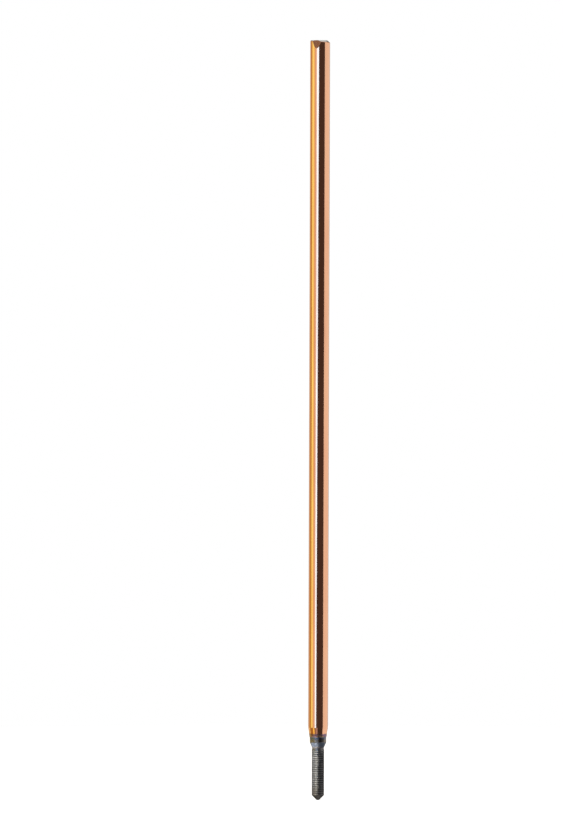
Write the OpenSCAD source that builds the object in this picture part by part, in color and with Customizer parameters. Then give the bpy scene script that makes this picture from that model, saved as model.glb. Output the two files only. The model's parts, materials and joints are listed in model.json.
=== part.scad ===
// Earth rod: a copper-coated steel bar, driven end to end with others like it.
// The ridged spigot at the foot is driven into the socket in the head of the rod below.
// The axis is Z, and the flat on the tip lies at Z = 0.

/* [Bar] */
// Length from the tip to the top face
overall_l = 960; // [400:10:3000]
// Diameter over the copper coat
rod_d = 25; // [23:0.5:40]
// Chamfer around the top face
top_chamfer = 2; // [0.5:0.1:3]

/* [Narrowed end] */
// Length over which the coated bar narrows, down to where the coat ends
taper_l = 12; // [4:0.5:40]
// Thickness of the coat where it ends
coat_t = 0.5; // [0.2:0.1:1]
// Length of the sloping edge of the coat
lip_l = 1; // [0.2:0.1:2]

/* [Collar and shoulder] */
// Diameter of the bare collar under the coat
collar_d = 20.9; // [18:0.1:22.5]
// Length of the bare collar
collar_l = 7; // [3:0.5:30]
// Length of the conical shoulder between the collar and the neck
shoulder_l = 6.5; // [3:0.5:20]
// Radius that softens the edge between the collar and the shoulder
shoulder_round = 3; // [0.5:0.1:5]
// Radius in the corner between the shoulder and the neck
root_fillet = 1.5; // [0.3:0.1:3]
// Length of the plain neck above the ridges
neck_l = 2.5; // [2:0.5:20]

/* [Spigot] */
// Diameter over the crests of the ridges
spigot_d = 15.7; // [12:0.1:17]
// Length of the ridged part
spigot_l = 58; // [20:0.5:120]
// Distance from ridge to ridge, which is fitted to a whole number of them
ridge_pitch = 2.75; // [1.5:0.05:5]
// Length of a ridge's crest along the axis
crest_l = 1.1; // [0.4:0.1:1.3]
// Depth of the grooves, which is also how far the neck lies below the crests
groove_depth = 0.35; // [0.1:0.05:0.6]
// Diameter of the flat on the tip
tip_flat_d = 3.2; // [1:0.1:8]
// Angle between the side of the tip and the axis
tip_angle = 45; // [30:1:60]

/* [Socket] */
// How much narrower the socket is than the spigot that is driven into it
press_bite = 0.5; // [0.1:0.1:1]
// Depth left free under the tip of a seated spigot
socket_room = 17.5; // [2:0.5:60]
// Diameter of the flat floor
floor_flat_d = 7.2; // [2:0.1:10]
// Angle between the side of the floor's cone and the axis
floor_angle = 45; // [30:1:60]
// Chamfer at the mouth
mouth_chamfer = 0.8; // [0.2:0.1:1.2]

/* [Hidden] */
$fn = 128;

// Steps along a rounded corner of an outline
arc_steps = 6;
// How far a cut runs past the face it starts from
cut_past = 1;

rod_r = rod_d / 2;
collar_r = collar_d / 2;
spigot_r = spigot_d / 2;
neck_r = spigot_r - groove_depth;
tip_flat_r = tip_flat_d / 2;

// Heights of the edges, from the tip upwards
ridge_z = (neck_r - tip_flat_r) / tan(tip_angle);
neck_z = ridge_z + spigot_l;
shoulder_z = neck_z + neck_l;
collar_z = shoulder_z + shoulder_l;
coat_z = collar_z + collar_l;
bar_z = coat_z + taper_l;

// A whole number of ridges fills the spigot, each with a flank on both sides of its crest
ridge_count = round(spigot_l / ridge_pitch);
ridge_l = spigot_l / ridge_count;
flank_l = (ridge_l - crest_l) / 2;

// The socket takes the whole of a spigot, from its tip to the top of its neck
socket_r = (spigot_d - press_bite) / 2;
floor_flat_r = floor_flat_d / 2;
socket_depth = shoulder_z + socket_room;
floor_z = overall_l - socket_depth;
socket_wall_z = floor_z + (socket_r - floor_flat_r) / tan(floor_angle);

// The shoulder leans from the axis by this angle, and turns through it at both of its ends
shoulder_angle = atan((collar_r - neck_r) / shoulder_l);

function tangent_l(r) = r * tan(shoulder_angle / 2);

function arc(centre, r, from, to) = [
    for (i = [0:arc_steps])
        let (a = from + (to - from) * i / arc_steps)
        centre + r * [cos(a), sin(a)]
];

root_arc = arc(
    [neck_r + root_fillet, shoulder_z - tangent_l(root_fillet)],
    root_fillet, 180, 180 - shoulder_angle
);
shoulder_arc = arc(
    [collar_r - shoulder_round, collar_z + tangent_l(shoulder_round)],
    shoulder_round, -shoulder_angle, 0
);

function ridge(foot_z) = [
    [neck_r, foot_z],
    [spigot_r, foot_z + flank_l],
    [spigot_r, foot_z + flank_l + crest_l]
];

// Half sections, with the radius across and the height up
coated_section = [
    [0, coat_z],
    [collar_r, coat_z],
    [collar_r + coat_t, coat_z + lip_l],
    [rod_r, bar_z],
    [rod_r, overall_l - top_chamfer],
    [rod_r - top_chamfer, overall_l],
    [0, overall_l]
];
bare_section = concat(
    [[0, 0], [tip_flat_r, 0]],
    [for (i = [0:ridge_count - 1]) each ridge(ridge_z + i * ridge_l)],
    [[neck_r, neck_z]],
    root_arc,
    shoulder_arc,
    [[collar_r, coat_z], [0, coat_z]]
);
socket_section = [
    [0, floor_z],
    [floor_flat_r, floor_z],
    [socket_r, socket_wall_z],
    [socket_r, overall_l - mouth_chamfer],
    [socket_r + mouth_chamfer + cut_past, overall_l + cut_past],
    [0, overall_l + cut_past]
];

module turned(section) {
    rotate_extrude() polygon(section);
}

module earth_rod() {
    difference() {
        union() {
            color("peru") turned(coated_section);
            color("dimgray") turned(bare_section);
        }
        color("gray") turned(socket_section);
    }
}

earth_rod();
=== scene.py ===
import json
import math

import bmesh
import bpy
from mathutils import Euler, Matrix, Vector


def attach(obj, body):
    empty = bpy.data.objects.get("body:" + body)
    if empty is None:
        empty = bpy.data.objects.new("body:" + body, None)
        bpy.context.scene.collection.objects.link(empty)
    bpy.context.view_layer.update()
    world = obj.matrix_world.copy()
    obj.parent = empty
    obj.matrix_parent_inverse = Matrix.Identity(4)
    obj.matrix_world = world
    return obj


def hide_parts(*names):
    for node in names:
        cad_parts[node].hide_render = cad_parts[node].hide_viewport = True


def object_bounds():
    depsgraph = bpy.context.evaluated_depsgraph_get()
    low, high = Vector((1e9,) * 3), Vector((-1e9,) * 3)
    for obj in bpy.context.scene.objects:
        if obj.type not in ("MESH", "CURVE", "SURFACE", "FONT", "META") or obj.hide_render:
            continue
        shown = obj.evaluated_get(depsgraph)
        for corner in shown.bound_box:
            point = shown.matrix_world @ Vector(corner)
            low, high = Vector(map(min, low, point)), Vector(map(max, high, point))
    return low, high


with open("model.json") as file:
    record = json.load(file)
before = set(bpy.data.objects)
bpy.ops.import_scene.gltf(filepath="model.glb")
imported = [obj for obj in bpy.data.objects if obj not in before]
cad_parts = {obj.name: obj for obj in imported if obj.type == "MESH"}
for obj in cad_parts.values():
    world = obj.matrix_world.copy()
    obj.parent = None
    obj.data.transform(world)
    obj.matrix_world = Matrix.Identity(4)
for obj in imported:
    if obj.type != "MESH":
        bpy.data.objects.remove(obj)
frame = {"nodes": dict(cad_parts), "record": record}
cadLow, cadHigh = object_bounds()
mounts = {mount["name"]: mount["dims"] for mount in frame["record"]["mounts"]}
mm = 0.001
mmPerMetre = 1000  # for the finishes, whose coordinates are in metres
hair = 1e-7  # metres, far less than the distance between two vertices
bpy.ops.object.select_all(action="DESELECT")  # the loaded nodes come in selected
print("frame loaded:", sorted(frame["nodes"]))


class Wire:
    # a socket that takes part in sums, each of which adds its Math node
    def __init__(self, finish, socket):
        self.finish = finish
        self.socket = socket

    def calc(self, operation, *values):
        return self.finish.node("ShaderNodeMath", {"operation": operation}, dict(enumerate(values)))

    def __add__(self, other):
        return self.calc("ADD", self, other)

    def __radd__(self, other):
        return self.calc("ADD", other, self)

    def __sub__(self, other):
        return self.calc("SUBTRACT", self, other)

    def __rsub__(self, other):
        return self.calc("SUBTRACT", other, self)

    def __mul__(self, other):
        return self.calc("MULTIPLY", self, other)

    def __rmul__(self, other):
        return self.calc("MULTIPLY", other, self)

    def turnFrom(self, other):
        # the angle in radians from the direction of other towards that of self
        return self.calc("ARCTAN2", self, other)

    def ripple(self):
        # a wave between 0 and 1, for an angle in radians
        return self.calc("SINE", self) * 0.5 + 0.5

    def rings(self, pitch):
        # a ripple for every pitch, which is in mm
        return (self * (math.tau / (pitch * mm))).ripple()

    def rise(self, low, high):
        # 0 below low, 1 above high, and smooth between
        return self.finish.node(
            "ShaderNodeMapRange",
            {"interpolation_type": "SMOOTHSTEP"},
            {"Value": self, "From Min": low, "From Max": high},
        )

    def band(self, low, high, fade):
        # 1 between low and high, with soft ends
        return self.rise(low - fade, low + fade) * (1 - self.rise(high - fade, high + fade))


class Finish:
    # a material, or the world, and its nodes
    def __init__(self, owner):
        owner.use_nodes = True
        self.owner = owner
        self.tree = owner.node_tree
        self.tree.nodes.clear()

    def node(self, kind, settings=None, sockets=None, out=0):
        made = self.tree.nodes.new(kind)
        for key, value in (settings or {}).items():
            setattr(made, key, value)
        for key, value in (sockets or {}).items():
            if isinstance(value, Wire):
                self.tree.links.new(value.socket, made.inputs[key])
            else:
                made.inputs[key].default_value = value
        return Wire(self, made.outputs[out])

    def place(self):
        # the rod's own coordinates, whole and as x, y and z
        at = self.node("ShaderNodeTexCoord", out="Object")
        return at, *(self.node("ShaderNodeSeparateXYZ", None, {0: at}, axis) for axis in range(3))

    def fromAxis(self, x, y):
        # distance from the rod's axis, in metres
        across = self.node("ShaderNodeCombineXYZ", None, {0: x, 1: y})
        return self.node("ShaderNodeVectorMath", {"operation": "LENGTH"}, {0: across}, "Value")

    def mix(self, share, first, second):
        # a colour is a wire, or its red, green and blue
        first, second = (tone if isinstance(tone, Wire) else rgba(*tone) for tone in (first, second))
        return self.node("ShaderNodeMix", {"data_type": "RGBA"}, {0: share, 6: first, 7: second}, 2)

    def grain(self, at, scale, stretch=(1, 1, 1), detail=2.0):
        # noise, longer along the directions whose stretch is small
        spread = self.node("ShaderNodeMapping", None, {"Vector": at, "Scale": stretch})
        return self.node("ShaderNodeTexNoise", None, {"Vector": spread, "Scale": scale, "Detail": detail})

    def relief(self, height, depth):
        # height runs from 0 to 1, and depth is in mm
        sockets = {"Strength": 1.0, "Distance": depth * mm, "Height": height}
        return self.node("ShaderNodeBump", None, sockets)

    def metal(self, colour, roughness, normal, edge=1.0):
        # edge is how bright the metal stays where it is seen at a slant
        return self.close(
            self.node(
                "ShaderNodeBsdfPrincipled",
                None,
                {
                    "Base Color": colour,
                    "Metallic": 1.0,
                    "Roughness": roughness,
                    "Specular Tint": rgba(edge, edge, edge),
                    "Normal": normal,
                },
            )
        )

    def close(self, shader, kind="ShaderNodeOutputMaterial"):
        self.tree.links.new(shader.socket, self.tree.nodes.new(kind).inputs["Surface"])
        return self.owner


def rgba(red, green, blue):
    return (red, green, blue, 1.0)


# Camera, far off and level with the upper half of the rod
photoCamera = {
    "place": (-0.0478, -8.0, 0.611),
    "tiltUp": -0.934,  # degrees above level
    "roll": -0.173,
    "lens": 271.3,
}
bpy.ops.object.camera_add(
    location=photoCamera["place"],
    rotation=(math.radians(90 + photoCamera["tiltUp"]), math.radians(photoCamera["roll"]), 0),
)
camera = bpy.context.object
camera.name = "photoCamera"
camera.data.lens = photoCamera["lens"]
bpy.context.scene.camera = camera
bpy.context.scene.view_settings.view_transform = "Standard"
print("camera set")

# Floor: a round of pale paper that the camera sees almost white
floorPaper = {"radius": 1.45, "sides": 96, "colour": (0.80, 0.80, 0.80), "whitening": 0.75}


def makeFloor():
    bpy.ops.object.select_all(action="DESELECT")
    bpy.ops.mesh.primitive_circle_add(
        vertices=floorPaper["sides"], radius=floorPaper["radius"], fill_type="NGON", location=(0, 0, 0)
    )
    floor = bpy.context.object
    floor.name = "paperFloor"
    finish = Finish(bpy.data.materials.new("palePaper"))
    seen = finish.node("ShaderNodeLightPath", out="Is Camera Ray")
    paper = finish.node("ShaderNodeBsdfDiffuse", None, {"Color": rgba(*floorPaper["colour"])})
    glow = finish.node("ShaderNodeEmission", None, {"Strength": seen * floorPaper["whitening"]})
    floor.data.materials.append(finish.close(finish.node("ShaderNodeAddShader", None, {0: paper, 1: glow})))
    floor.visible_glossy = False  # the rod mirrors the tent alone


# Light tent: tiers of cards around the rod. A card runs from one direction to another, in degrees.
# 0 faces the camera, and minus is to its left. The glow is red, green, blue.
# A lean turns the lower ends of cards: its direction, its reach to both sides, and the turn.
# A close tier lights only what mirrors it, and leaves the floor alone.
lightTent = {
    "columns": 180,
    "tiers": {
        "barTier": {
            "radius": 1.5,
            "bottom": -0.05,
            "top": 1.15,
            "leans": [(-106, 40, 16), (-11, 30, -13)],
            "cards": {
                "backLeft": (-180, -128, (0.70, 0.60, 0.45)),
                "amber": (-128, -104, (0.62, 0.42, 0.09)),
                "gold": (-104, -73, (1.20, 1.35, 0.52)),
                "orange": (-73, -59, (1.05, 0.88, 0.38)),
                "peach": (-59, -46, (0.80, 0.66, 0.58)),
                "pale": (-46, -36, (1.05, 1.05, 1.00)),
                "whiteStrip": (-36, -13, (1.25, 2.2, 3.5)),
                "blackFlag": (-13, 57, (0.07, 0.05, 0.045)),
                "right": (57, 150, (0.97, 0.95, 0.92)),
                "backRight": (150, 180, (0.35, 0.33, 0.30)),
            },
        },
        "ridgeTier": {  # around the tip and most of the ridges
            "radius": 0.05,
            "bottom": 0.004,
            "top": 0.047,
            "close": True,
            "cards": {
                "left": (-126, -72, (1.85, 1.8, 1.75)),
                "pale": (-72, -34, (1.35, 1.3, 1.22)),
                "whiteStrip": (-34, -18, (7.4, 7.0, 6.1)),
                "blackFlag": (-18, 60, (0.09, 0.09, 0.09)),
                "right": (60, 130, (0.2, 0.2, 0.21)),
            },
        },
        "upperRidgeTier": {  # around the last ridges, small so that the taper hardly mirrors it
            "radius": 0.03,
            "bottom": 0.049,
            "top": 0.062,
            "close": True,
            "cards": {
                "left": (-118, -66, (2.6, 2.55, 2.5)),
                "pale": (-66, -32, (2.0, 1.95, 1.85)),
                "whiteStrip": (-32, -16, (6.0, 5.7, 5.0)),
                "blackFlag": (-16, 110, (0.24, 0.24, 0.25)),
            },
        },
        "taperTier": {  # below the floor, where the taper looks
            "radius": 1.5,
            "bottom": -0.75,
            "top": -0.05,
            "cards": {
                "backLeft": (-180, -129, (0.70, 0.60, 0.45)),
                "gold": (-129, -112, (1.04, 1.05, 0.55)),
                "amber": (-112, -64, (0.45, 0.25, 0.06)),
                "orange": (-64, -46, (1.25, 1.05, 0.24)),
                "brown": (-46, -25, (0.36, 0.25, 0.18)),
                "grey": (-25, -9, (0.50, 0.42, 0.45)),
                "blackFlag": (-9, 57, (0.06, 0.045, 0.04)),
                "right": (57, 150, (0.97, 0.95, 0.92)),
                "backRight": (150, 180, (0.35, 0.33, 0.30)),
            },
        },
        "lowTier": {
            "radius": 1.5,
            "bottom": -2.2,
            "top": -0.75,
            "cards": {
                "backLeft": (-180, -129, (0.70, 0.62, 0.52)),
                "left": (-129, -24, (1.05, 1.0, 0.95)),
                "blackFlag": (-24, 18, (0.05, 0.05, 0.05)),
                "right": (18, 150, (0.55, 0.56, 0.60)),
                "backRight": (150, 180, (0.35, 0.33, 0.30)),
            },
        },
    },
}


def direction(place):
    # degrees around the rod, as the cards are given
    return math.degrees(math.atan2(place[0], -place[1]))


def pick(piece, kind, test):
    # selects the vertices, edges or faces of the edited mesh that pass the test
    bpy.ops.mesh.select_mode(type=kind)
    bpy.ops.mesh.select_all(action="DESELECT")
    mesh = bmesh.from_edit_mesh(piece.data)
    for part in {"VERT": mesh.verts, "EDGE": mesh.edges, "FACE": mesh.faces}[kind]:
        part.select_set(test(part))
    mesh.select_flush_mode()
    bmesh.update_edit_mesh(piece.data)


def glowing(name, glow):
    finish = Finish(bpy.data.materials.new(name))
    return finish.close(finish.node("ShaderNodeEmission", None, {"Color": rgba(*glow)}))


def makeTier(name, radius, bottom, top, cards, leans=(), close=False):
    bpy.ops.object.select_all(action="DESELECT")
    bpy.ops.mesh.primitive_cylinder_add(
        vertices=lightTent["columns"],
        radius=radius,
        depth=top - bottom,
        end_fill_type="NOTHING",
        location=(0, 0, (top + bottom) / 2),
    )
    tier = bpy.context.object
    tier.name = name

    def between(face, start, end):
        return start <= direction(face.calc_center_median()) < end

    def onCard(face):
        return any(between(face, start, end) for start, end, glow in cards.values())

    bpy.ops.object.mode_set(mode="EDIT")
    pick(tier, "FACE", lambda face: not onCard(face))
    bpy.ops.mesh.delete(type="FACE")
    for slot, (card, (start, end, glow)) in enumerate(cards.items()):
        tier.data.materials.append(glowing(name + "." + card, glow))
        tier.active_material_index = slot
        pick(tier, "FACE", lambda face: between(face, start, end))
        bpy.ops.object.material_slot_assign()
    bpy.ops.object.mode_set(mode="OBJECT")
    for corner in tier.data.vertices:
        if corner.co.z < 0:  # the lower ring
            facing = direction(corner.co)
            turn = sum(most * max(0, 1 - abs(facing - at) / reach) for at, reach, most in leans)
            corner.co.rotate(Euler((0, 0, math.radians(turn))))
    tier.visible_camera = False
    tier.visible_diffuse = not close
    tier.visible_shadow = not close


# Soft boxes above the tent and under its floor
softBoxes = {
    "topBox": {"size": 2.6, "height": 2.3, "glow": (0.95, 0.94, 0.92)},
    "lowBox": {"size": 2.6, "height": -2.2, "glow": (0.9, 0.9, 0.9)},
}


def makeSoftBox(name, size, height, glow):
    bpy.ops.object.select_all(action="DESELECT")
    bpy.ops.mesh.primitive_plane_add(size=size, location=(0, 0, height))
    box = bpy.context.object
    box.name = name
    box.data.materials.append(glowing(name + ".glow", glow))
    box.visible_camera = False


# Room: white behind the rod, dim and warm in what the rod mirrors
room = {"backdrop": (1.0, 1.0, 1.0), "dim": (0.27, 0.20, 0.155)}


def makeRoom():
    world = bpy.data.worlds.new("studio")
    bpy.context.scene.world = world
    finish = Finish(world)
    seen = finish.node("ShaderNodeLightPath", out="Is Camera Ray")
    colour = finish.mix(seen, room["dim"], room["backdrop"])
    finish.close(finish.node("ShaderNodeBackground", None, {"Color": colour}), "ShaderNodeOutputWorld")


makeFloor()
for tierName, tier in lightTent["tiers"].items():
    makeTier(tierName, **tier)
for boxName, box in softBoxes.items():
    makeSoftBox(boxName, **box)
makeRoom()
print("stage set")

# The rod's turned form in mm, from the tip up, then down into the socket
rodForm = {
    "columns": 132,
    "barCuts": 288,
    "arcSteps": 6,
    "bevelSteps": 3,
    "tipFlat": 1.6,
    "groove": 0.35,
    "crest": 1.1,
    "ridgeCount": 21,
    "ridgesLength": 58.0,
    "flutes": 33,
    "fluteDepth": 0.2,
    "neckLength": 2.5,
    "rootFillet": 1.5,
    "shoulderLength": 6.5,
    "shoulderRound": 3.0,
    "collar": 10.45,
    "collarLength": 7.0,
    "collarRings": (4.2, 2.6, 1.4, 0.6),  # below the coat's edge
    "edgeProfile": [(-0.05, -0.1), (0.2, 0.0), (0.4, 0.3)],  # out from the collar, up from that edge
    "coatLip": (0.5, 1.0),
    "taperSteps": 8,
    "coatThickness": 0.3,
    "headRing": 0.3,  # keeps the bar's shading straight up to its top
    "chamfer": 2.0,
    "mouth": 0.8,
    "floorFlat": 3.6,
    "smoothUnder": 30,  # degrees between faces that are shaded as one
}
rodRadius = mounts["shank"]["r_mm"]
crestRadius = mounts["spigot"]["r_mm"]
socketRadius = mounts["top_socket"]["r_mm"]
grooveRadius = crestRadius - rodForm["groove"]
ridgesFrom = grooveRadius - rodForm["tipFlat"]  # the side of the tip leans 45 degrees
ridgesTo = ridgesFrom + rodForm["ridgesLength"]
neckTop = ridgesTo + rodForm["neckLength"]
shoulderTop = neckTop + rodForm["shoulderLength"]
coatEdge = shoulderTop + rodForm["collarLength"]
topHeight = cadHigh.z / mm
barTop = topHeight - rodForm["chamfer"]
barBottom = barTop - mounts["shank"]["length_mm"]
mouthBottom = topHeight - rodForm["mouth"]
socketFoot = mouthBottom - mounts["top_socket"]["length_mm"]

# Distances in mm within which a vertex or face counts as being at a place
slack = {"ring": 0.01, "bar": 0.1, "headRing": 0.1, "rim": 0.3, "coatEdge": 0.1, "collar": 0.2}


def arc(centre, radius, start, end):
    steps = rodForm["arcSteps"]
    turns = [math.radians(start + (end - start) * step / steps) for step in range(steps + 1)]
    return [(centre[0] + radius * math.cos(turn), centre[1] + radius * math.sin(turn)) for turn in turns]


def ridgeOutline():
    pitch = rodForm["ridgesLength"] / rodForm["ridgeCount"]
    flank = (pitch - rodForm["crest"]) / 2
    points = []
    for ridge in range(rodForm["ridgeCount"]):
        foot = ridgesFrom + ridge * pitch
        points += [
            (grooveRadius, foot),
            (crestRadius, foot + flank),
            (crestRadius, foot + flank + rodForm["crest"]),
        ]
    return points + [(grooveRadius, ridgesTo)]


def shoulderOutline():
    lean = math.degrees(math.atan((rodForm["collar"] - grooveRadius) / rodForm["shoulderLength"]))
    half = math.tan(math.radians(lean / 2))
    root, crown = rodForm["rootFillet"], rodForm["shoulderRound"]
    rootCentre = (grooveRadius + root, neckTop - root * half)
    crownCentre = (rodForm["collar"] - crown, shoulderTop + crown * half)
    return arc(rootCentre, root, 180, 180 - lean) + arc(crownCentre, crown, -lean, 0)


def coatOutline():
    # the collar runs up under the coat, whose edge is drawn over it
    collar = rodForm["collar"]
    points = [(collar, coatEdge - below) for below in rodForm["collarRings"]]
    points += [(collar + out, coatEdge + up) for out, up in rodForm["edgeProfile"]]
    lipOut, lipUp = rodForm["coatLip"]
    lipRadius, lipTop = collar + lipOut, coatEdge + lipUp
    for step in range(rodForm["taperSteps"] + 1):
        share = step / rodForm["taperSteps"]
        radius = lipRadius + (rodRadius - lipRadius) * share
        points.append((radius, lipTop + (barBottom - lipTop) * share))
    return points


def headOutline():
    coat = rodForm["coatThickness"]
    return [
        (rodRadius, barTop - rodForm["headRing"]),
        (rodRadius, barTop),
        (rodRadius - coat, barTop + coat),
        (rodRadius - rodForm["chamfer"], topHeight),
        (socketRadius + rodForm["mouth"], topHeight),
        (socketRadius, mouthBottom),
        (socketRadius, socketFoot),
        (rodForm["floorFlat"], socketFoot - (socketRadius - rodForm["floorFlat"])),
    ]


def ringOf(place):
    # radius and height in mm
    return math.hypot(place[0], place[1]) / mm, place[2] / mm


def onRing(edge, radius, height):
    return all(math.dist(ringOf(corner.co), (radius, height)) < slack["ring"] for corner in edge.verts)


def turnRod():
    tip = [(rodForm["tipFlat"], 0.0)]
    outline = tip + ridgeOutline() + shoulderOutline() + coatOutline() + headOutline()
    bpy.ops.object.select_all(action="DESELECT")
    bpy.ops.mesh.primitive_circle_add(
        vertices=rodForm["columns"], radius=rodForm["tipFlat"] * mm, fill_type="TRIFAN", location=(0, 0, 0)
    )
    rod = bpy.context.object
    rod.name = "earthRod"
    bpy.ops.object.mode_set(mode="EDIT")
    pick(rod, "VERT", lambda corner: corner.co.xy.length > rodForm["tipFlat"] * mm / 2)  # its rim
    for (radius, height), (nextRadius, nextHeight) in zip(outline, outline[1:]):
        bpy.ops.mesh.extrude_region_move(
            TRANSFORM_OT_translate={"value": (0, 0, (nextHeight - height) * mm)}
        )
        size = nextRadius / radius
        bpy.ops.transform.resize(value=(size, size, 1), center_override=(0, 0, 0))
    bpy.ops.mesh.extrude_region_move()
    bpy.ops.mesh.merge(type="CENTER")  # closes the socket's floor
    return rod


softEdges = [  # radius, height and width in mm of each edge that is broken
    (rodForm["tipFlat"], 0.0, 0.3),
    (grooveRadius, ridgesFrom, 0.25),
    (rodRadius, barTop, 0.12),
    (rodRadius - rodForm["chamfer"], topHeight, 0.2),
    (socketRadius + rodForm["mouth"], topHeight, 0.15),
    (socketRadius, mouthBottom, 0.15),
]


def breakEdges(rod):
    for radius, height, width in softEdges:
        pick(rod, "EDGE", lambda edge: onRing(edge, radius, height))
        bpy.ops.mesh.bevel(offset=width * mm, segments=rodForm["bevelSteps"], affect="EDGES")


def ringTheBar(rod):
    longest = (barTop - barBottom) / 2  # only edges along the bar are longer

    def alongBar(edge):
        foot, head = (ringOf(corner.co) for corner in edge.verts)
        return abs(foot[1] - head[1]) > longest and min(foot[0], head[0]) > rodRadius - slack["bar"]

    pick(rod, "EDGE", alongBar)
    bpy.ops.mesh.subdivide(number_cuts=rodForm["barCuts"])


def fluteRidges(rod):
    everyColumn = rodForm["columns"] // rodForm["flutes"]

    def inFlute(corner):
        radius, height = ringOf(corner.co)
        column = round(math.radians(direction(corner.co)) * rodForm["columns"] / math.tau)
        onCrest = abs(radius - crestRadius) < slack["ring"] and height < ridgesTo
        return onCrest and column % everyColumn == 0

    pick(rod, "VERT", inFlute)
    size = 1 - rodForm["fluteDepth"] / crestRadius
    bpy.ops.transform.resize(value=(size, size, 1), center_override=(0, 0, 0))


rod = turnRod()
breakEdges(rod)
ringTheBar(rod)
fluteRidges(rod)
bpy.ops.mesh.select_all(action="SELECT")
bpy.ops.mesh.normals_make_consistent(inside=False)
bpy.ops.object.mode_set(mode="OBJECT")
print("rod turned:", len(rod.data.polygons), "faces")

# Wear and handling in mm and degrees: the ragged edge of the coat, the head chamfered off centre,
# waves along the bar, dents, and the flat pressed on the head
rodWear = {
    "edgeWaves": [  # count around the rod, size and start in radians
        (1, 0.25, 0.8),
        (3, 0.15, 2.4),
        (7, 0.12, 0.4),
        (12, 0.09, 4.1),
        (19, 0.07, 1.0),
    ],
    "edgeReach": (3.5, 6.0),  # how far below and above the edge its raggedness dies out
    "edgeHold": 1.5,  # over 1, what lies close to the edge moves as far as it does
    "rimShift": -1.2,
    "rimLean": 1.0,
    "waveSize": 34.0,
    "waveDepth": 0.05,
    "waveFade": 30.0,  # from the ends of the bar
    "dents": [  # direction, height, depth and reach
        (-41, 368, 0.10, 6),
        (-118, 612, 0.08, 5),
        (72, 241, 0.08, 6),
        (151, 455, 0.10, 7),
        (24, 823, 0.05, 5),
    ],
    "flatFacing": -21.5,
    "flatLength": 10.5,
    "flatLean": 8.6,
}


def markCoatRise(rod):
    # height above the coat's edge, kept from before the edge is made ragged
    heights = [corner.co.z / mm - coatEdge for corner in rod.data.vertices]
    rod.data.attributes.new("coatRise", "FLOAT", "POINT").data.foreach_set("value", heights)


def ragEdge(rod):
    below, above = rodWear["edgeReach"]
    for corner in rod.data.vertices:
        rise = corner.co.z / mm - coatEdge
        if not -below < rise < above:
            continue
        fade = 1 + rise / below if rise < 0 else 1 - rise / above
        turn = math.radians(direction(corner.co))
        shift = sum(size * math.sin(count * turn + start) for count, size, start in rodWear["edgeWaves"])
        corner.co.z += shift * min(1.0, fade * rodWear["edgeHold"]) * mm


def skewHead(rod):
    foot = barTop - rodForm["headRing"] - slack["headRing"]
    rim = rodRadius - rodForm["chamfer"] - slack["rim"]
    for corner in rod.data.vertices:
        radius, height = ringOf(corner.co)
        if height < foot or radius < rim:
            continue
        inward = min(1.0, (rodRadius - radius) / rodForm["chamfer"])
        lean = rodWear["rimLean"] * corner.co.x / (rodRadius * mm)
        corner.co.x += rodWear["rimShift"] * inward * mm
        corner.co.z -= lean * (1 - inward) * mm


def waveBar(rod):
    bar = rod.vertex_groups.new(name="bar")
    for corner in rod.data.vertices:
        radius, height = ringOf(corner.co)
        fade = min(height - barBottom, barTop - height) / rodWear["waveFade"]
        if radius > rodRadius - slack["bar"] and fade > 0:
            bar.add([corner.index], min(1.0, fade), "REPLACE")
    waves = bpy.data.textures.new("barWaves", "CLOUDS")
    waves.noise_scale = rodWear["waveSize"] * mm
    shift = rod.modifiers.new("barWaves", "DISPLACE")
    shift.texture = waves
    shift.texture_coords = "LOCAL"
    shift.strength = rodWear["waveDepth"] * mm
    shift.vertex_group = "bar"
    bpy.ops.object.modifier_apply(modifier="barWaves")
    rod.vertex_groups.clear()


def pressDents(rod):
    for facing, height, depth, reach in rodWear["dents"]:
        turn = math.radians(facing)
        inward = Vector((-math.sin(turn), math.cos(turn), 0))
        spot = Vector((0, 0, height * mm)) - inward * rodRadius * mm
        nearest = min((corner.co - spot).length for corner in rod.data.vertices)
        bpy.ops.object.mode_set(mode="EDIT")
        pick(rod, "VERT", lambda corner: (corner.co - spot).length <= nearest + hair)
        bpy.ops.transform.translate(
            value=inward * depth * mm,
            use_proportional_edit=True,
            proportional_edit_falloff="SMOOTH",
            proportional_size=reach * mm,
        )
        bpy.ops.object.mode_set(mode="OBJECT")


def pressFlat(rod):
    turn, lean = math.radians(rodWear["flatFacing"]), math.radians(rodWear["flatLean"])
    outward = Vector((math.sin(turn), -math.cos(turn), 0))
    foot = outward * rodRadius * mm + Vector((0, 0, (topHeight - rodWear["flatLength"]) * mm))
    bpy.ops.object.mode_set(mode="EDIT")
    bpy.ops.mesh.select_all(action="SELECT")
    bpy.ops.mesh.bisect(
        plane_co=foot,
        plane_no=outward * math.cos(lean) + Vector((0, 0, math.sin(lean))),
        use_fill=True,
        clear_outer=True,
        threshold=hair,
    )
    bpy.ops.object.mode_set(mode="OBJECT")
    flat = max(rod.data.polygons, key=lambda face: len(face.vertices))
    flat.material_index = len(rod.data.materials) - 1  # the pressed copper
    return flat.index


def shadeRod(rod, flatFace):
    bpy.ops.object.select_all(action="DESELECT")
    rod.select_set(True)
    bpy.context.view_layer.objects.active = rod
    bpy.ops.object.shade_smooth_by_angle(angle=math.radians(rodForm["smoothUnder"]))
    bpy.ops.object.mode_set(mode="EDIT")
    # the flat and the top of the taper keep a sharp edge
    pick(rod, "FACE", lambda face: face.index == flatFace)
    bpy.ops.mesh.mark_sharp()
    pick(rod, "EDGE", lambda edge: onRing(edge, rodRadius, barBottom))
    bpy.ops.mesh.mark_sharp()
    bpy.ops.object.mode_set(mode="OBJECT")


# In the finishes, a grain is its scale, its stretch along x, y and z, and its detail.
# An edge is where a grain begins to show and where it shows in full. Depths are in mm.

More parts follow.
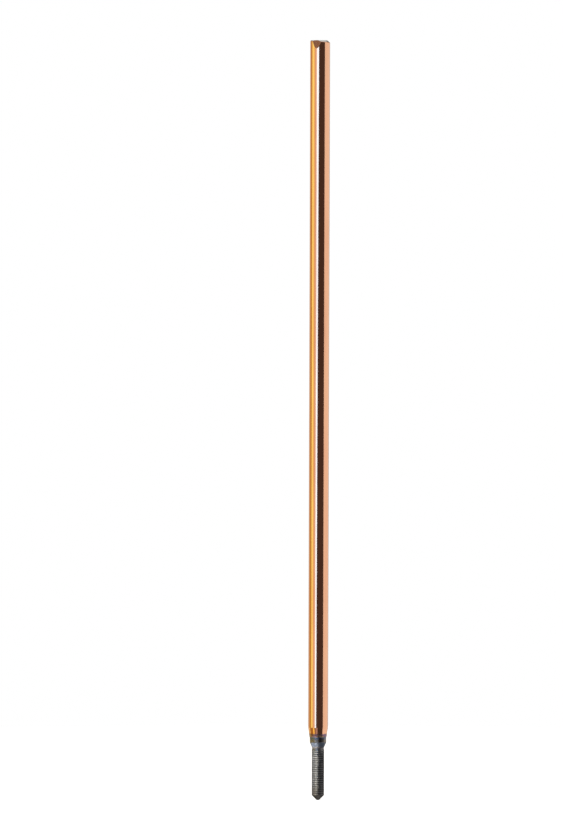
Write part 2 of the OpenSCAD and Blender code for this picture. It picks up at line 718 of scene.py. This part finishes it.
# Copper coat: bright, drawn lengthways, rosy in patches, dull and heat-tinted near its edge
copperCoat = {
    "bright": (0.87, 0.475, 0.295),
    "rosy": (0.83, 0.425, 0.265),
    "patchGrain": (45, (1, 1, 0.18)),
    "patchEdge": (0.4, 0.68),
    "line": (0.70, 0.36, 0.22),
    "lineGrain": (1500, (1, 1, 0.004), 3),
    "lineEdge": (0.52, 0.74),
    "lineShare": 0.5,
    "broadLineGrain": (330, (1, 1, 0.012)),
    "plum": (0.17, 0.12, 0.21),
    "umber": (0.19, 0.11, 0.08),
    "tan": (0.36, 0.24, 0.16),
    "blotGrain": (170, (1, 1, 1.4)),
    "umberEdge": (0.46, 0.54),
    "tanEdge": (0.54, 0.62),
    "tintShare": 0.93,
    "singeGrain": (260, (1, 1, 0.5), 3),
    "singeReach": 2.4,  # mm by which the tint wanders
    "singedTo": (4.6, 6.2),  # mm above the edge, where the tint begins to fade and where it ends
    "roughness": 0.07,
    "pressedRoughness": 0.15,
    "roughened": {"lines": 0.05, "patches": 0.03, "heat": 0.24},
    "spiral": 1000,  # radians a metre
    "raised": {"lines": 0.45, "broadLines": 0.35, "spiral": 0.12},
    "depth": 0.007,
}


def makeCopper(name, polish):
    finish = Finish(bpy.data.materials.new(name))
    at, x, y, z = finish.place()
    patches = finish.grain(at, *copperCoat["patchGrain"])
    lines = finish.grain(at, *copperCoat["lineGrain"])
    broadLines = finish.grain(at, *copperCoat["broadLineGrain"])
    colour = finish.mix(patches.rise(*copperCoat["patchEdge"]), copperCoat["bright"], copperCoat["rosy"])
    lined = lines.rise(*copperCoat["lineEdge"]) * copperCoat["lineShare"]
    colour = finish.mix(lined, colour, copperCoat["line"])
    # the end of the coat was heated, and took on colours
    rise = finish.node("ShaderNodeAttribute", {"attribute_name": "coatRise"}, out="Fac")
    singe = finish.grain(at, *copperCoat["singeGrain"]) * copperCoat["singeReach"]
    heat = 1 - (rise + singe).rise(*copperCoat["singedTo"])
    blot = finish.grain(at, *copperCoat["blotGrain"])
    tint = finish.mix(blot.rise(*copperCoat["umberEdge"]), copperCoat["plum"], copperCoat["umber"])
    tint = finish.mix(blot.rise(*copperCoat["tanEdge"]), tint, copperCoat["tan"])
    colour = finish.mix(heat * copperCoat["tintShare"], colour, tint)
    rough = copperCoat["roughened"]
    roughness = polish + lines * rough["lines"] + patches * rough["patches"] + heat * rough["heat"]
    # rolls of the straightening machine left a faint spiral
    spiral = (y.turnFrom(x) + z * copperCoat["spiral"]).ripple()
    raised = copperCoat["raised"]
    height = lines * raised["lines"] + broadLines * raised["broadLines"]
    height = height + spiral * patches * raised["spiral"]
    return finish.metal(colour, roughness, finish.relief(height, copperCoat["depth"]))


# Collar, shoulder and neck: dark turned steel with temper colours and soot, and a patch of painted shade on
# one side
collarSteel = {
    "steel": (0.19, 0.18, 0.19),
    "blue": (0.145, 0.17, 0.225),
    "straw": (0.25, 0.212, 0.17),
    "bands": [("blue", 79.0, 82.0), ("straw", 75.2, 77.6), ("blue", 69.4, 74.6)],  # mm up, wander included
    "bandFade": 0.8,
    "wanderGrain": (140, (1, 1, 0.6)),
    "wander": 3.0,  # mm
    # near black, used for the soot and for the painted shade patch
    "soot": (0.03, 0.028, 0.028),
    "sootGrain": (420, (1, 1, 0.7), 4),
    "sootEdge": (0.55, 0.75),
    "sootShare": 0.7,
    "scorch": {  # painted shade: a patch darker than the rest, where a dark card would be mirrored
        "facing": (6, 46),  # degrees around the rod
        "sideFade": 0.12,  # radians
        "ragged": 0.2,
        "height": (75.0, 80.6),
        "endFade": 0.7,
        "share": 0.85,
    },
    "roughness": 0.35,
    "sootRoughness": 0.16,
    "toolMark": 0.45,  # mm between turned rings
    "depth": 0.01,
}


def makeCollar():
    finish = Finish(bpy.data.materials.new("temperedCollar"))
    at, x, y, z = finish.place()
    level = z * mmPerMetre + finish.grain(at, *collarSteel["wanderGrain"]) * collarSteel["wander"]
    colour = collarSteel["steel"]
    for tone, foot, top in collarSteel["bands"]:
        colour = finish.mix(level.band(foot, top, collarSteel["bandFade"]), colour, collarSteel[tone])
    soot = finish.grain(at, *collarSteel["sootGrain"])
    sooted = soot.rise(*collarSteel["sootEdge"]) * collarSteel["sootShare"]
    colour = finish.mix(sooted, colour, collarSteel["soot"])
    # painted shade: a near-black patch on the side a little right of the camera, standing in for a dark
    # reflection
    scorch = collarSteel["scorch"]
    start, end = (math.radians(turn) for turn in scorch["facing"])
    facing = x.turnFrom(0 - y) + soot * scorch["ragged"] - scorch["ragged"] / 2
    across = facing.band(start, end, scorch["sideFade"])
    along = level.band(*scorch["height"], scorch["endFade"])
    colour = finish.mix(across * along * scorch["share"], colour, collarSteel["soot"])
    roughness = collarSteel["roughness"] + soot * collarSteel["sootRoughness"]
    height = z.rings(collarSteel["toolMark"]) * 0.5 + soot * 0.5
    return finish.metal(colour, roughness, finish.relief(height, collarSteel["depth"]))


# Ridges and tip: oily dark oxide, worn to grey steel on the crests, brown towards the tip
ridgeSteel = {
    "groove": (0.065, 0.064, 0.062),
    "oxide": (0.078, 0.079, 0.086),
    "oxideFrom": 0.1,  # mm below the crests
    "worn": (0.33, 0.326, 0.326),
    "wornFrom": 0.16,
    "wornTo": 0.02,
    "wearGrain": (260,),
    "wearEdge": (0.30, 0.62),
    "speckGrain": (620, (1, 1, 1), 3),
    "speckEdge": (0.42, 0.58),
    "bare": {"everywhere": 0.25, "patches": 0.25, "specks": 0.5},  # shares of the wear on the crests
    "brown": (0.13, 0.115, 0.10),
    "stained": (6, 24),  # mm above the tip, where the brown begins to fade and where it ends
    "stainEdge": (0.35, 0.6),
    "stainShare": 0.6,
    "roughness": 0.27,
    "roughened": {"pits": 0.22, "crest": -0.08},
    "edge": 0.02,
    "pitGrain": (900, (1, 1, 1), 4),
    "depth": 0.03,
}


def makeRidges():
    finish = Finish(bpy.data.materials.new("oxidisedRidges"))
    at, x, y, z = finish.place()
    radius = finish.fromAxis(x, y) * mmPerMetre
    pits = finish.grain(at, *ridgeSteel["pitGrain"])
    wear = finish.grain(at, *ridgeSteel["wearGrain"])
    patches = wear.rise(*ridgeSteel["wearEdge"])
    specks = finish.grain(at, *ridgeSteel["speckGrain"]).rise(*ridgeSteel["speckEdge"])
    share = ridgeSteel["bare"]
    bare = share["everywhere"] + share["patches"] * patches + share["specks"] * specks
    crest = radius.rise(crestRadius - ridgeSteel["wornFrom"], crestRadius - ridgeSteel["wornTo"]) * bare
    oxide = radius.rise(grooveRadius, crestRadius - ridgeSteel["oxideFrom"])
    colour = finish.mix(oxide, ridgeSteel["groove"], ridgeSteel["oxide"])
    colour = finish.mix(crest, colour, ridgeSteel["worn"])
    stain = (1 - (z * mmPerMetre).rise(*ridgeSteel["stained"])) * wear.rise(*ridgeSteel["stainEdge"])
    colour = finish.mix(stain * ridgeSteel["stainShare"], colour, ridgeSteel["brown"])
    rough = ridgeSteel["roughened"]
    roughness = ridgeSteel["roughness"] + pits * rough["pits"] + crest * rough["crest"]
    return finish.metal(colour, roughness, finish.relief(pits, ridgeSteel["depth"]), ridgeSteel["edge"])


# Head and socket: bare steel off the lathe, darker inside the socket
headSteel = {
    "face": (0.56, 0.55, 0.535),
    "socket": (0.30, 0.285, 0.265),
    "dulledOver": 3,  # mm down from the mouth
    "rust": (0.20, 0.12, 0.075),
    "blotGrain": (330, (1, 1, 0.3), 4),
    "rustEdge": (0.58, 0.78),
    "rustShare": 0.5,
    "roughness": 0.26,
    "blotRoughness": 0.14,
    "faceMark": 0.3,  # mm between turned rings on the face
    "socketMark": 0.5,
    "depth": 0.012,
}


def makeHead():
    finish = Finish(bpy.data.materials.new("turnedHead"))
    at, x, y, z = finish.place()
    inside = 1 - (z * mmPerMetre).rise(mouthBottom - headSteel["dulledOver"], mouthBottom)
    blot = finish.grain(at, *headSteel["blotGrain"])
    colour = finish.mix(inside, headSteel["face"], headSteel["socket"])
    rusted = blot.rise(*headSteel["rustEdge"]) * headSteel["rustShare"]
    colour = finish.mix(rusted, colour, headSteel["rust"])
    faceRings = finish.fromAxis(x, y).rings(headSteel["faceMark"])
    socketRings = z.rings(headSteel["socketMark"])
    height = faceRings * (1 - inside) + socketRings * inside
    roughness = headSteel["roughness"] + blot * headSteel["blotRoughness"]
    return finish.metal(colour, roughness, finish.relief(height, headSteel["depth"]))


def dressRod(rod):
    finishes = {
        "copper": makeCopper("drawnCopper", copperCoat["roughness"]),
        "collar": makeCollar(),
        "ridges": makeRidges(),
        "head": makeHead(),
        "pressed": makeCopper("pressedCopper", copperCoat["pressedRoughness"]),
    }
    for material in finishes.values():
        rod.data.materials.append(material)
    slots = list(finishes)
    coatTop = barTop + rodForm["coatThickness"]
    for face in rod.data.polygons:
        radius, height = ringOf(face.center)
        if height < ridgesTo:
            face.material_index = slots.index("ridges")
        elif height < coatEdge - slack["coatEdge"]:
            face.material_index = slots.index("collar")
        elif radius < rodForm["collar"] - slack["collar"] or height > coatTop:
            face.material_index = slots.index("head")


dressRod(rod)
markCoatRise(rod)
ragEdge(rod)
skewHead(rod)
waveBar(rod)
pressDents(rod)
flatFace = pressFlat(rod)
shadeRod(rod, flatFace)
print("rod dressed and worn")
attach(rod, "root")
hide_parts("earth_rod")
